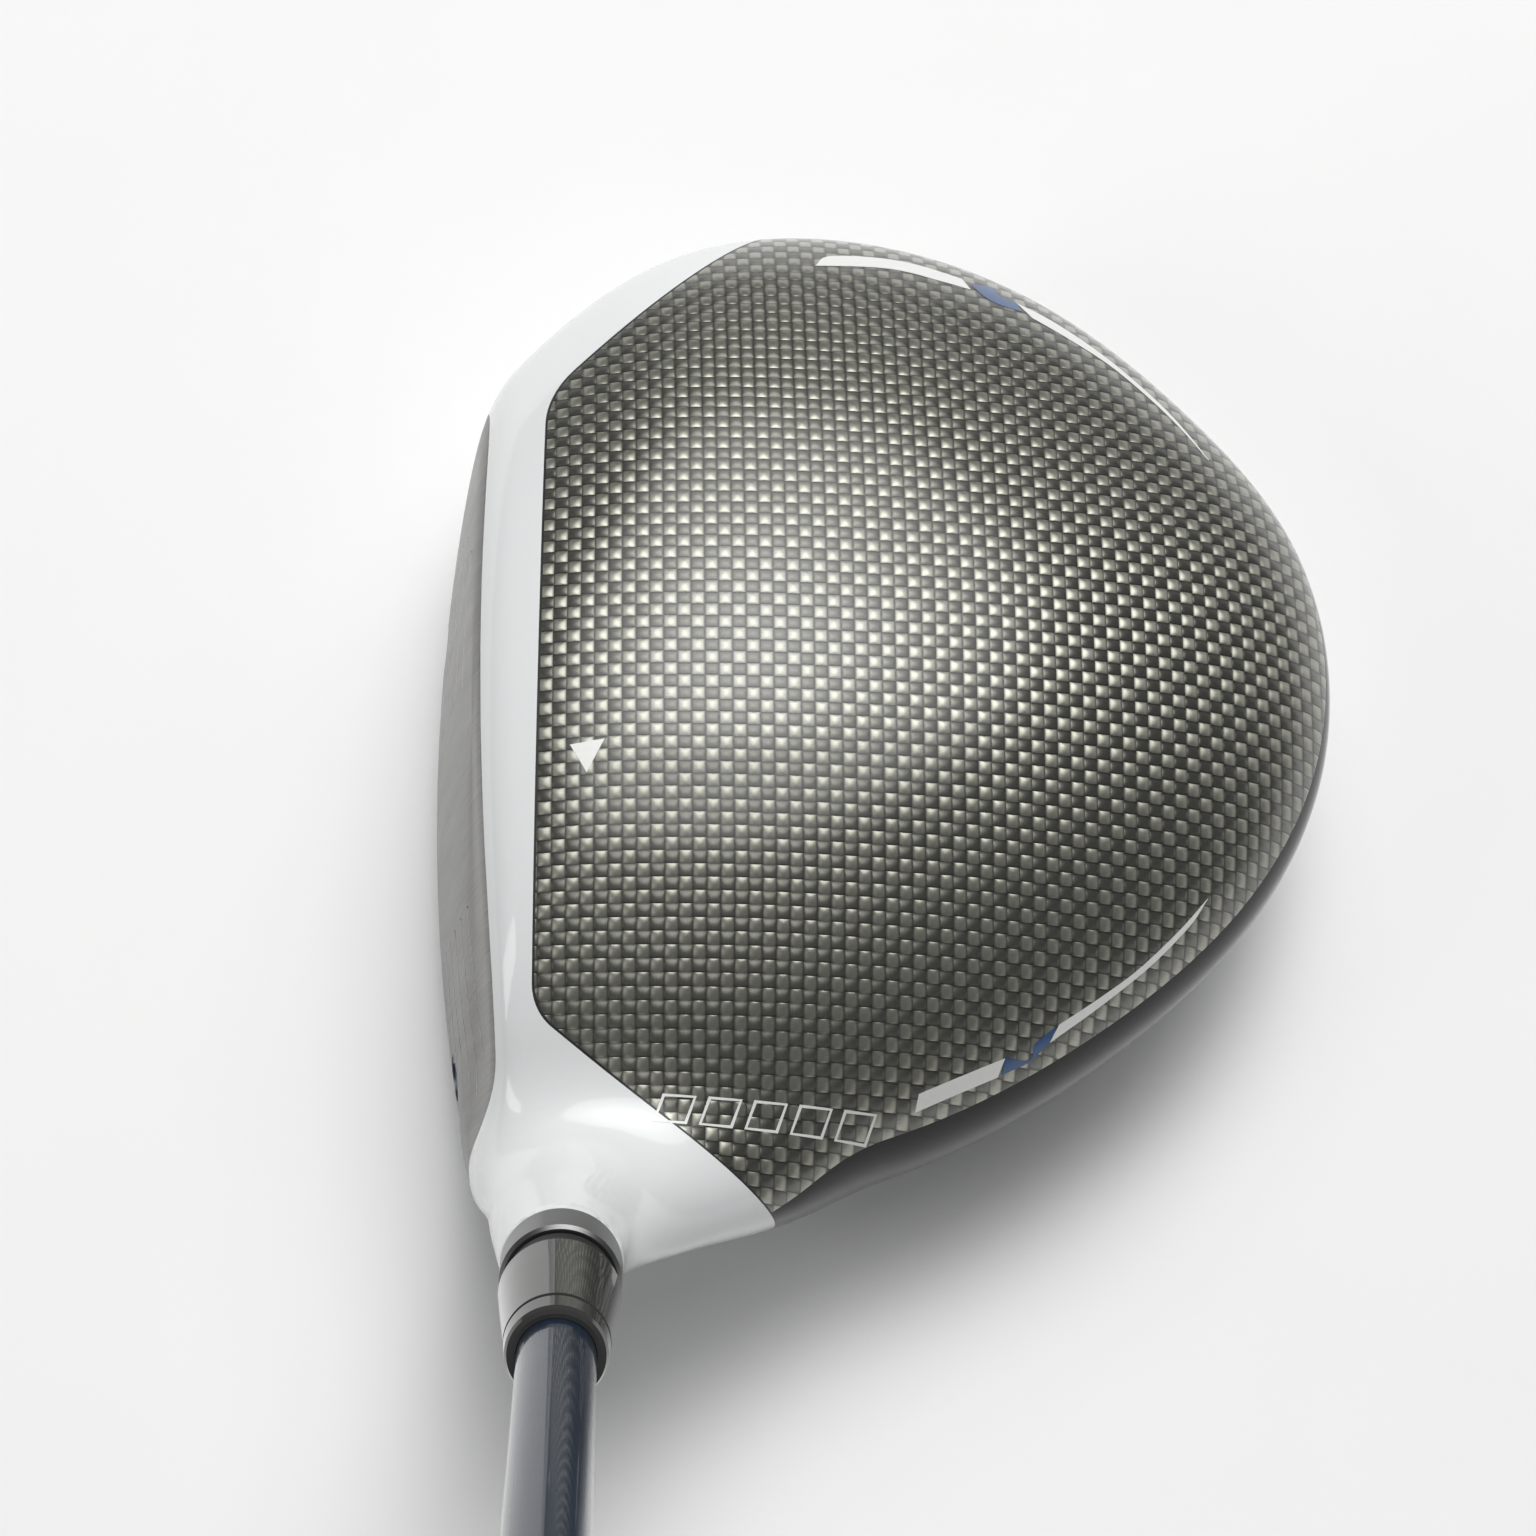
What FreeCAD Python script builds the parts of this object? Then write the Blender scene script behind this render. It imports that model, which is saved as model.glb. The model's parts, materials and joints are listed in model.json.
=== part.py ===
"""A right-handed 460 cc golf driver: head, adjustable loft sleeve, shaft and grip.

Millimetres. The club stands at address: +Z is up from the ground, +X runs from the face to the
rear of the head, +Y runs from the heel to the toe. The origin is the point where the sole
touches the ground. Every separate piece is written to parts/NAME.step.
"""

import FreeCAD, Part

import math
import os

from FreeCAD import Vector

# ---- head ---------------------------------------------------------------------------------
EQUATOR_Z = 29.0        # height at which the head is widest
CROWN_Z = 60.0          # height of the crown's highest point
CROWN_APEX = (-8.0, 2.0)
EQUATOR_MIDDLE = (-20.0, 1.0)
# How full the profile is near the widest outline, along X and along Y. 2 is an ellipse, less gives a
# keener edge; towards the top and the bottom every profile becomes an ellipse.
CROWN_POWERS = (1.65, 2.2)
SOLE_POWERS = (1.1, 2.3)
LEVELS = 14             # sections in each half of the head
# The head's widest outline seen from above, from the rear round the toe to the face and the heel.
OUTLINE = [
    (79.2, 19), (75.3, 36.5), (63.5, 53), (45, 69), (21.5, 78), (-3, 76.3), (-23.5, 61.5), (-41, 37),
    (-50, 8), (-49, -24), (-38, -46), (-16, -51.2), (6, -50.3), (29, -43.5), (50, -31), (68, -14), (77, 3),
]
HEAD_HALF_WIDTH = 58.0  # mean distance from the middle to the outline

# ---- face ---------------------------------------------------------------------------------
LOFT = 9.5
FACE_RADIUS = 280.0     # bulge and roll
FACE_POINT = Vector(-33.2, 8, 32)
FACE_THICKNESS = 3.0
FACE_EDGE_RADIUS = 2.2
FACE_FRAME = 1.3        # width of body metal left round the face plate
SCORE_LINE_PITCH = 5.4
SCORE_LINE_WIDTH = 0.7
SCORE_LINE_DEPTH = 0.25
SCORE_LINE_START = 14.0     # clear hitting zone on each side of the face's middle
SCORE_LINE_MIDDLE_Y = -2.0
PORT_RADIUS = 3.0
PORT_LENGTH = 5.0
PORT_Y = (-31.0, 27.0)
PORT_Z = 16.5

# ---- shells -------------------------------------------------------------------------------
PANEL = 1.0             # carbon panels and the rear rim
BOND = 0.05             # glue line
BODY_WALL = 1.2
LEDGE = 1.1             # flange that carries a panel
LEDGE_WIDTH = 5.0
SEAM_Z = 38.0           # where the crown panel meets the rear rim, on the line Y = 0
SEAM_SLOPE = 0.035      # the seam rises towards the toe
RIM_LOW_Z = 24.5
RING_LOW_Z, RING_HIGH_Z = 19.0, 43.0
RING_FRONT_X = -20.0
BIG = 300.0

# ---- sole ---------------------------------------------------------------------------------
SOLE_PANEL_TOP_Z = 21.0
TOE_PANEL = [(6, 17), (62, 26), (56, 46), (36, 61), (8, 64), (-4, 52)]
HEEL_PANEL = [(8, -9), (56, -2), (56, -15), (40, -29), (12, -38), (4, -34)]
PANEL_CORNER = 5.0
KEEL_TURN = 8.0         # the keel heads towards the toe
KEEL_HALF_WIDTH_FRONT, KEEL_HALF_WIDTH_REAR = 5.0, 10.0
KEEL_PROFILE = [(10, 3), (14, 1.2), (69, 8.5), (73, 10.5), (76, 20.5), (72, 27), (30, 12)]
KEEL_EDGE_RADIUS = 1.5
BOSS_RADIUS = 4.5       # threaded boss behind the rear weight
WEIGHT_TILT = 17.0      # the rear weight's axis points down by this much
WEIGHT_RADIUS = 4.6
WEIGHT_LENGTH = 6.0
WEIGHT_MOUTH = (74.6, 15.6)  # X and Z of the weight's outer face, along the keel
SMALL_SCREW = 2.0       # shank radius of the slider's and rear weight's screws
SMALL_SCREW_HEAD = 3.6
SCREW_GAP = 0.05

# ---- sliding front weight -----------------------------------------------------------------
TRACK_X = -15.0
TRACK_Y = 5.0
TRACK_RADIUS = 130.0    # the track curves with the sole about a line along X
TRACK_LOW_Z = 0.5       # lowest point of the slider
TRACK_HALF_ANGLE = 11.7
TRACK_HALF_WIDTH = 8.4
TRACK_WALL = 1.2
LIP_GAP = 5.0           # half the slot between the lips
LIP_LOW, LIP_HIGH, TRACK_ROOF = 1.3, 3.0, 7.6   # heights above the slider's face
SLIDER_HALF_ANGLE = 4.0
SLIDER_HALF_WIDTH = 6.8
SLIDER_STEM = 4.6
NUT_HALF_ANGLE = 3.2
NUT_HALF_WIDTH = 6.6
RUNNING = 0.3           # clearance between pieces that slide

# ---- hosel, sleeve and shaft line ----------------------------------------------------------
LIE = 58.0
SLEEVE_TILT = 1.5       # the shaft leans this much from the hosel's own axis
SHAFT_GROUND = Vector(-18, -24, 0)   # where the shaft line meets the ground
PIVOT_DISTANCE = 79.0   # from there to the top of the sleeve's collar
COLLAR_LENGTH = 6.0
HOSEL_RADIUS = 6.85
SLEEVE_RADIUS = 5.6
SLEEVE_BORE = 5.65
SLEEVE_LENGTH = 38.0
SPLINE_TOP, SPLINE_END = 32.0, 38.5  # depths below the hosel's top
SPLINE_TEETH = 12
SPLINE_TIP, SPLINE_ROOT = 5.4, 4.8
INSERT_TIP, INSERT_ROOT, INSERT_RADIUS = 4.9, 5.5, 6.1
HOSEL_FLOOR = 42.0      # depth of the ledge under the sleeve
POCKET_RADIUS = 4.7
SHAFT_DEPTH = 26.0      # how far the tip goes below the hosel's top
BOLT_RADIUS = 2.5
BOLT_TOP = 29.0
BOLT_HEAD_RADIUS = 4.2
BOLT_HEAD_LENGTH = 5.0
WASHER_THICKNESS = 0.8
# Neck sections below the hosel's top: depth, shift towards the rear, half-widths along X and across.
NECK = [
    (0, 0, 6.85, 6.85), (6, 0.3, 7.2, 6.9), (14, 2.3, 9.6, 7.3), (21, 6.2, 13.7, 7.6), (29, 9.5, 17.5, 7.2),
    (37, 10, 17.5, 6.9), (46, 6, 13, 6),
]

GROOVE_LENGTH = 3.2
FERRULE_LENGTH = 16.5
FERRULE_TOP_RADIUS = 5.5
TIP_RADIUS = 4.25
TIP_BORE = 2.4
TIP_PARALLEL = 75.0
BUTT_RADIUS = 7.6
BUTT_BORE = 6.4
CLUB_LENGTH = 1162.0    # 45.75 inches, along the shaft line from the ground
GRIP_LENGTH = 268.0
GRIP_MOUTH_RADIUS = 8.6
GRIP_BUTT_RADIUS = 12.6
CAP_RADIUS = 13.4
CAP_LENGTH = 5.0
VENT_RADIUS = 2.25
TAPE = 0.2

UP = Vector(0, 0, 1)


def save(shape, name):
    """Writes one piece as a STEP file named after its node."""
    solids = shape.Solids
    piece = solids[0] if len(solids) == 1 else Part.makeCompound(solids)
    piece.exportStep(os.path.join("parts", name + ".step"))
    print(name, len(solids), round(piece.Volume), piece.isValid())


def direction(lie):
    """Unit vector up the shaft for a lie angle in degrees."""
    return Vector(0, -math.cos(math.radians(lie)), math.sin(math.radians(lie)))


SHAFT_UP = direction(LIE)
HOSEL_UP = direction(LIE + SLEEVE_TILT)
PIVOT = SHAFT_GROUND + SHAFT_UP * PIVOT_DISTANCE
HOSEL_TOP = PIVOT - HOSEL_UP * COLLAR_LENGTH


def aligned(shape, origin, axis):
    """Moves a shape drawn about +Z so that its Z axis runs along axis from origin."""
    shape.Placement = FreeCAD.Placement(origin, FreeCAD.Rotation(UP, axis))
    return shape


def in_hosel(shape):
    """Places a shape drawn about the hosel's axis, with z = 0 at the hosel's top."""
    return aligned(shape, HOSEL_TOP, HOSEL_UP)


def on_shaft(shape):
    """Places a shape drawn about the shaft's axis, with z = 0 at the top of the collar."""
    return aligned(shape, PIVOT, SHAFT_UP)


def rod(radius, low, high):
    return Part.makeCylinder(radius, high - low, Vector(0, 0, low))


def turned(profile):
    """A solid turned about Z from (radius, height) corners."""
    points = [Vector(r, 0, z) for r, z in profile]
    face = Part.Face(Part.makePolygon(points + points[:1]))
    return face.revolve(Vector(0, 0, 0), UP, 360)


def rounded_prism(corners, radii, low, high):
    """An upright prism over a polygon whose corners are rounded."""
    points = [Vector(x, y, low) for x, y in corners]
    solid = Part.Face(Part.makePolygon(points + points[:1])).extrude(Vector(0, 0, high - low))
    for (x, y), radius in zip(corners, radii):
        if radius:
            edges = [e for e in solid.Edges if upright_at(e, x, y)]
            solid = solid.makeFillet(radius, edges)
    return solid


def upright_at(edge, x, y):
    return all(abs(v.X - x) < 0.01 and abs(v.Y - y) < 0.01 for v in edge.Vertexes)


def slab(low, high, x_low=-BIG):
    """Everything between two heights, behind x_low."""
    return Part.makeBox(BIG - x_low, 2 * BIG, high - low, Vector(x_low, -BIG, low))


# ---- the head's outer form ------------------------------------------------------------------


def outline_curve():
    curve = Part.BSplineCurve()
    curve.interpolate(Points=[Vector(x, y, 0) for x, y in OUTLINE], PeriodicFlag=True)
    return curve


def section_middle(rise):
    """The point a section shrinks towards; rise runs from -1 at the sole to 1 at the crown's apex."""
    x, y = EQUATOR_MIDDLE
    if rise > 0:
        return x + (CROWN_APEX[0] - x) * rise, y + (CROWN_APEX[1] - y) * rise
    return x * (1 - rise ** 2), y * (1 + rise)


def domed_body(inset):
    """The head without its face: horizontal sections that shrink towards the crown's apex and the sole."""
    outline = outline_curve()
    shrink = 1 - inset / HEAD_HALF_WIDTH
    crown_z, sole_z = CROWN_Z - inset, inset
    sections = [Part.Vertex(0, 0, sole_z)]
    for i in range(1 - LEVELS, LEVELS):
        angle = math.radians(90.0 * i / LEVELS)
        rise = math.sin(angle)
        powers, reach = (CROWN_POWERS, crown_z - EQUATOR_Z) if i > 0 else (SOLE_POWERS, EQUATOR_Z - sole_z)
        blend = abs(rise) ** 3
        rounded = [power + (2 - power) * blend for power in powers]
        scale_x, scale_y = [shrink * math.cos(angle) ** (2 / power) for power in rounded]
        middle_x, middle_y = section_middle(rise)
        section = outline.copy()
        for index, pole in enumerate(outline.getPoles(), 1):
            x = middle_x + (pole.x - middle_x) * scale_x
            y = middle_y + (pole.y - middle_y) * scale_y
            section.setPole(index, Vector(x, y, EQUATOR_Z + reach * rise))
        sections.append(Part.Wire([section.toShape()]))
    sections.append(Part.Vertex(CROWN_APEX[0], CROWN_APEX[1], crown_z))
    return Part.makeLoft(sections, True, False, False)


FACE_NORMAL = Vector(-math.cos(math.radians(LOFT)), 0, math.sin(math.radians(LOFT)))


def face_ball(inset):
    """The large ball whose front is the face, moved back by inset."""
    centre = FACE_POINT - FACE_NORMAL * (FACE_RADIUS + inset)
    return aligned(Part.makeSphere(FACE_RADIUS), centre, Vector(0, 1, 0))


def head_form(inset, face_inset=None):
    """The closed head, its wall moved in by inset."""
    return domed_body(inset).common(face_ball(inset if face_inset is None else face_inset))


def neck_form():
    """The neck, flaring from the hosel's top into the heel."""
    sections = []
    for depth, shift, half_x, half_y in NECK:
        if half_x > half_y:
            ring = Part.Ellipse(Vector(shift, 0, -depth), half_x, half_y)
        else:
            ring = Part.Circle(Vector(shift, 0, -depth), UP, half_x)
        sections.append(Part.Wire([ring.toShape()]))
    return in_hosel(Part.makeLoft(sections, True, False, False))


def face_edges(form):
    """The closed edge round the face of a head form."""
    return [e for e in form.Edges if e.BoundBox.XMax < 0 and e.BoundBox.YLength > HEAD_HALF_WIDTH]


def crown_region(margin=0.0, low=RIM_LOW_Z):
    """Everything behind the crown's front edge, which bends back at the toe and at the heel."""
    corners = [
        (24 + margin, 94), (-20.9 + margin, 48.8 - margin / 2), (-21.9 + margin, -31.5 + margin / 2),
        (20 + margin, -63.5), (120, -63.5), (120, 94),
    ]
    return rounded_prism(corners, [0, 12, 6, 0, 0, 0], low, 90)


def above_seam(offset=0.0):
    """Everything above the crown panel's lower edge."""
    box = Part.makeBox(2 * BIG, 2 * BIG, BIG, Vector(-BIG, -BIG, 0))
    tilt = FreeCAD.Rotation(Vector(1, 0, 0), math.degrees(math.atan(SEAM_SLOPE)))
    box.Placement = FreeCAD.Placement(Vector(0, 0, SEAM_Z + offset), tilt)
    return box


def sole_region(corners, grow=0.0):
    """An upright prism over a sole panel's outline, grown or shrunk."""
    middle_x = sum(x for x, y in corners) / len(corners)
    middle_y = sum(y for x, y in corners) / len(corners)
    moved = []
    for x, y in corners:
        away = math.hypot(x - middle_x, y - middle_y)
        scale = (away + grow) / away
        moved.append((middle_x + (x - middle_x) * scale, middle_y + (y - middle_y) * scale))
    return rounded_prism(moved, [PANEL_CORNER] * len(moved), -5, SOLE_PANEL_TOP_Z)


# ---- sliding weight and its track ------------------------------------------------------------

TRACK_AXIS = Vector(TRACK_X, TRACK_Y, TRACK_LOW_Z + TRACK_RADIUS)


def track_arc(half_width, low, high, half_angle):
    """A bar that follows the track: its section runs from low to high above the slider's face."""
    floor, roof = TRACK_LOW_Z + low, TRACK_LOW_Z + high
    corners = [
        Vector(TRACK_X - half_width, TRACK_Y, floor), Vector(TRACK_X + half_width, TRACK_Y, floor),
        Vector(TRACK_X + half_width, TRACK_Y, roof), Vector(TRACK_X - half_width, TRACK_Y, roof),
    ]
    face = Part.Face(Part.makePolygon(corners + corners[:1]))
    face.rotate(TRACK_AXIS, Vector(1, 0, 0), -half_angle)
    return face.revolve(TRACK_AXIS, Vector(1, 0, 0), 2 * half_angle)


def track_rod(radius, low, high):
    return Part.makeCylinder(radius, high - low, Vector(TRACK_X, TRACK_Y, TRACK_LOW_Z + low))


def hex_socket(across, low, high):
    """A hexagonal driver recess about Z."""
    corner = across / math.sqrt(3)
    points = [Vector(corner * math.cos(k * math.pi / 3), corner * math.sin(k * math.pi / 3), low)
              for k in range(7)]
    return Part.Face(Part.makePolygon(points)).extrude(Vector(0, 0, high - low))


def make_weight_track():
    inner_angle = TRACK_HALF_ANGLE - math.degrees(TRACK_WALL / TRACK_RADIUS)
    channel = track_arc(TRACK_HALF_WIDTH, LIP_LOW, TRACK_ROOF + TRACK_WALL, TRACK_HALF_ANGLE)
    channel = channel.cut(track_arc(TRACK_HALF_WIDTH - TRACK_WALL, LIP_HIGH, TRACK_ROOF, inner_angle))
    return channel.cut(track_arc(LIP_GAP, 0, LIP_HIGH + 1, inner_angle))


SCREW_SEAT = 2.4        # height of the slider screw's seat


def make_slider():
    flange = track_arc(SLIDER_HALF_WIDTH, 0, LIP_LOW - RUNNING, SLIDER_HALF_ANGLE)
    stem = track_arc(SLIDER_STEM, 0, LIP_HIGH, SLIDER_HALF_ANGLE - 0.3)
    weight = flange.fuse(stem).removeSplitter()
    weight = weight.cut(track_rod(SMALL_SCREW_HEAD + 0.3, -1, SCREW_SEAT - SCREW_GAP))
    return weight.cut(track_rod(SMALL_SCREW + SCREW_GAP, -1, LIP_HIGH + 1))


def make_slider_nut():
    nut = track_arc(NUT_HALF_WIDTH, LIP_HIGH + RUNNING, LIP_HIGH + RUNNING + 3, NUT_HALF_ANGLE)
    return nut.cut(track_rod(SMALL_SCREW + SCREW_GAP, 0, TRACK_ROOF))


def make_slider_screw():
    screw = track_rod(SMALL_SCREW_HEAD, 0.4, SCREW_SEAT - 2 * SCREW_GAP).fuse(
        track_rod(SMALL_SCREW, 0.4, TRACK_ROOF - RUNNING)
    )
    socket = hex_socket(3.0, 0, 1.9)
    socket.translate(Vector(TRACK_X, TRACK_Y, TRACK_LOW_Z))
    return screw.cut(socket).removeSplitter()


# ---- keel and rear weight -------------------------------------------------------------------


def along_keel(shape):
    """Turns a shape drawn with the keel along +X to the keel's own heading."""
    shape.rotate(Vector(0, 0, 0), UP, KEEL_TURN)
    return shape


def weight_rod(radius, low, high):
    """A cylinder on the rear weight's axis; 0 is the weight's outer face, positive is outward."""
    tilt = math.radians(WEIGHT_TILT)
    outward = Vector(math.cos(tilt), 0, -math.sin(tilt))
    mouth = Vector(WEIGHT_MOUTH[0], 0, WEIGHT_MOUTH[1])
    return along_keel(Part.makeCylinder(radius, high - low, mouth + outward * low, outward))


def make_keel(outer):
    """The raised spine under the rear of the sole, with the rear weight's boss."""
    points = [Vector(x, -BIG / 10, z) for x, z in KEEL_PROFILE]
    body = Part.Face(Part.makePolygon(points + points[:1])).extrude(Vector(0, BIG / 5, 0))
    front_x, rear_x = 0.0, 80.0
    plan = [(front_x, -KEEL_HALF_WIDTH_FRONT), (rear_x, -KEEL_HALF_WIDTH_REAR),
            (rear_x, KEEL_HALF_WIDTH_REAR), (front_x, KEEL_HALF_WIDTH_FRONT)]
    body = body.common(rounded_prism(plan, [0] * 4, -5, 40))
    low_edges = [e for e in body.Edges if e.BoundBox.ZMax < KEEL_PROFILE[4][1] + 1 and e.Length > 4]
    body = along_keel(body.makeFillet(KEEL_EDGE_RADIUS, low_edges)).cut(outer)
    boss = weight_rod(BOSS_RADIUS, -22, -WEIGHT_LENGTH)
    keel = max(body.Solids, key=lambda s: s.Volume).fuse(boss)
    keel = keel.cut(weight_rod(WEIGHT_RADIUS + SCREW_GAP, -WEIGHT_LENGTH - SCREW_GAP, 20))
    return keel.cut(weight_rod(SMALL_SCREW + SCREW_GAP, -20, 0)).removeSplitter()


def make_rear_weight():
    weight = weight_rod(WEIGHT_RADIUS, -WEIGHT_LENGTH, 0)
    weight = weight.cut(weight_rod(SMALL_SCREW_HEAD + 0.2, -3.6, 1))
    return weight.cut(weight_rod(SMALL_SCREW + SCREW_GAP, -20, 0))


def make_rear_screw():
    screw = weight_rod(SMALL_SCREW_HEAD, -3.5, -0.6).fuse(weight_rod(SMALL_SCREW, -19, -0.6))
    tilt = math.radians(WEIGHT_TILT)
    socket = hex_socket(3.0, -2.8, 1)
    mouth = Vector(WEIGHT_MOUTH[0], 0, WEIGHT_MOUTH[1])
    socket = aligned(socket, mouth, Vector(math.cos(tilt), 0, -math.sin(tilt)))
    return screw.cut(along_keel(socket)).removeSplitter()


# ---- hosel pieces -----------------------------------------------------------------------------


def spline_teeth(inner, outer, low, high, width, start):
    """A ring of straight teeth about Z; width and start are angles in degrees."""
    teeth = []
    wedge = Part.makeCylinder(outer, high - low, Vector(0, 0, low), UP, width)
    wedge = wedge.cut(rod(inner, low - 1, high + 1))
    for k in range(SPLINE_TEETH):
        tooth = wedge.copy()
        tooth.rotate(Vector(0, 0, 0), UP, start - width / 2 + k * 360 / SPLINE_TEETH)
        teeth.append(tooth)
    return teeth


def make_sleeve():
    """The loft sleeve: collar, plain body and splined end, bored for the leaning shaft."""
    body = turned([
        (0, -SLEEVE_LENGTH), (SPLINE_ROOT, -SLEEVE_LENGTH), (SPLINE_ROOT, -SPLINE_TOP + RUNNING),
        (SLEEVE_RADIUS, -SPLINE_TOP + RUNNING), (SLEEVE_RADIUS, RUNNING), (HOSEL_RADIUS - 0.25, RUNNING),
        (HOSEL_RADIUS, RUNNING + 0.25), (HOSEL_RADIUS - 0.05, COLLAR_LENGTH - 0.4),
        (HOSEL_RADIUS - 0.45, COLLAR_LENGTH), (0, COLLAR_LENGTH),
    ])
    teeth = spline_teeth(SPLINE_ROOT - 0.3, SPLINE_TIP, -SLEEVE_LENGTH, -SPLINE_TOP + RUNNING, 13, 0)
    sleeve = in_hosel(body.fuse(teeth)).cut(in_hosel(rod(BOLT_RADIUS + SCREW_GAP, -50, -SHAFT_DEPTH + 1)))
    tip_space = rod(TIP_RADIUS + SCREW_GAP, -SHAFT_DEPTH - COLLAR_LENGTH, 20)
    return sleeve.cut(on_shaft(tip_space)).removeSplitter()


def make_hosel_insert():
    ring = rod(INSERT_RADIUS, -SPLINE_END, -SPLINE_TOP).cut(rod(INSERT_ROOT, -50, 0))
    teeth = spline_teeth(INSERT_TIP, INSERT_ROOT + 0.2, -SPLINE_END, -SPLINE_TOP, 14.5, 15)
    return in_hosel(ring.fuse(teeth).removeSplitter())


def make_hosel_washer():
    low, high = -HOSEL_FLOOR - WASHER_THICKNESS, -HOSEL_FLOOR - SCREW_GAP
    return in_hosel(rod(POCKET_RADIUS - RUNNING, low, high).cut(rod(BOLT_RADIUS + SCREW_GAP, -60, 0)))


def make_hosel_screw():
    seat = -HOSEL_FLOOR - WASHER_THICKNESS - SCREW_GAP
    head = rod(BOLT_HEAD_RADIUS, seat - BOLT_HEAD_LENGTH, seat)
    screw = head.fuse(rod(BOLT_RADIUS, seat - 1, -BOLT_TOP))
    socket = hex_socket(4.0, seat - BOLT_HEAD_LENGTH - 1, seat - BOLT_HEAD_LENGTH + 3.4)
    return in_hosel(screw.cut(socket).removeSplitter())


def hosel_bore():
    """All the space inside the hosel: sleeve bore, insert seat, bolt hole and wrench pocket."""
    spaces = rod(SLEEVE_BORE, -SPLINE_END, 20)
    spaces = spaces.fuse(rod(INSERT_RADIUS, -SPLINE_END, -SPLINE_TOP))
    spaces = spaces.fuse(rod(BOLT_RADIUS + RUNNING, -60, -SPLINE_END + 1))
    spaces = spaces.fuse(rod(POCKET_RADIUS, -HOSEL_FLOOR - 50, -HOSEL_FLOOR))
    return in_hosel(spaces)


# ---- face ---------------------------------------------------------------------------------------


def port_rod(y, radius, low, high):
    """A cylinder square to the face at one of its two ports; 0 is the face, positive is outward."""
    centre = FACE_POINT - FACE_NORMAL * FACE_RADIUS
    drop = FACE_RADIUS ** 2 - (y - centre.y) ** 2 - (PORT_Z - centre.z) ** 2
    point = Vector(centre.x - math.sqrt(drop), y, PORT_Z)
    outward = (point - centre).normalize()
    return Part.makeCylinder(radius, high - low, point + outward * low, outward)


def score_lines():
    """Thin blocks that cut the score lines into the face on both sides of the hitting zone."""
    ball = face_ball(SCORE_LINE_DEPTH)
    blocks = []
    rows = [(-3, 27), (-2, 33), (-1, 36), (0, 37), (1, 36), (2, 32)]
    for row, end in rows:
        z = FACE_POINT.z + row * SCORE_LINE_PITCH
        for side in (-1, 1):
            start = SCORE_LINE_MIDDLE_Y + side * SCORE_LINE_START
            stop = SCORE_LINE_MIDDLE_Y + side * end
            corner = Vector(-60, min(start, stop), z)
            blocks.append(Part.makeBox(50, abs(stop - start), SCORE_LINE_WIDTH, corner))
    return Part.makeCompound(blocks).cut(ball)


def make_port_screws():
    screws = []
    for y in PORT_Y:
        screw = port_rod(y, PORT_RADIUS - SCREW_GAP, -PORT_LENGTH, -0.3)
        screws.append(screw.cut(port_rod(y, 1.2, -2.2, 1)))
    return Part.makeCompound(screws)


# ---- shaft and grip ------------------------------------------------------------------------------

BUTT_END = CLUB_LENGTH - PIVOT_DISTANCE
TIP_END = -SHAFT_DEPTH - COLLAR_LENGTH + 0.5
GRIP_LOW = BUTT_END - GRIP_LENGTH
TAPER_START = TIP_END + TIP_PARALLEL


def shaft_radius(height):
    """Outer radius of the shaft, height above the collar."""
    if height <= TAPER_START:
        return TIP_RADIUS
    return TIP_RADIUS + (BUTT_RADIUS - TIP_RADIUS) * (height - TAPER_START) / (BUTT_END - TAPER_START)


def make_shaft():
    return on_shaft(turned([
        (TIP_BORE, TIP_END), (TIP_RADIUS, TIP_END), (TIP_RADIUS, TAPER_START), (BUTT_RADIUS, BUTT_END),
        (BUTT_BORE, BUTT_END), (TIP_BORE, TAPER_START),
    ]))


def make_ferrule_ring():
    """The recessed ring between the collar and the ferrule."""
    ring = rod(HOSEL_RADIUS - 0.75, RUNNING, GROOVE_LENGTH).cut(rod(TIP_RADIUS + SCREW_GAP, -5, 20))
    return on_shaft(ring)


def make_ferrule():
    low, high = GROOVE_LENGTH + SCREW_GAP, GROOVE_LENGTH + FERRULE_LENGTH
    bore, top = TIP_RADIUS + SCREW_GAP, FERRULE_TOP_RADIUS
    line = high - 3.4       # a thin groove sets off the end bead
    return on_shaft(turned([
        (bore, low), (HOSEL_RADIUS - 0.35, low), (HOSEL_RADIUS - 0.1, low + 0.3),
        (HOSEL_RADIUS - 0.35, low + 3.5), (top + 0.55, line - 4), (top + 0.25, line),
        (top - 0.05, line + 0.1),
        (top - 0.05, line + 0.5), (top + 0.2, line + 0.6), (top, high - 0.7), (top - 0.25, high - 0.2),
        (top - 0.7, high), (bore, high),
    ]))


def make_grip_tape():
    low, high = GRIP_LOW + 1, BUTT_END - 1
    return on_shaft(turned([
        (shaft_radius(low) + 0.02, low), (shaft_radius(low) + TAPE, low),
        (shaft_radius(high) + TAPE, high), (shaft_radius(high) + 0.02, high),
    ]))


def make_grip():
    low, high = GRIP_LOW, BUTT_END
    gap = TAPE + 0.03
    return on_shaft(turned([
        (shaft_radius(low) + gap, low), (GRIP_MOUTH_RADIUS - 0.8, low), (GRIP_MOUTH_RADIUS, low + 1),
        (GRIP_MOUTH_RADIUS + 0.3, low + 60), (GRIP_BUTT_RADIUS - 1.2, high - 60),
        (GRIP_BUTT_RADIUS, high), (shaft_radius(high) + gap, high),
    ]))


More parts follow.
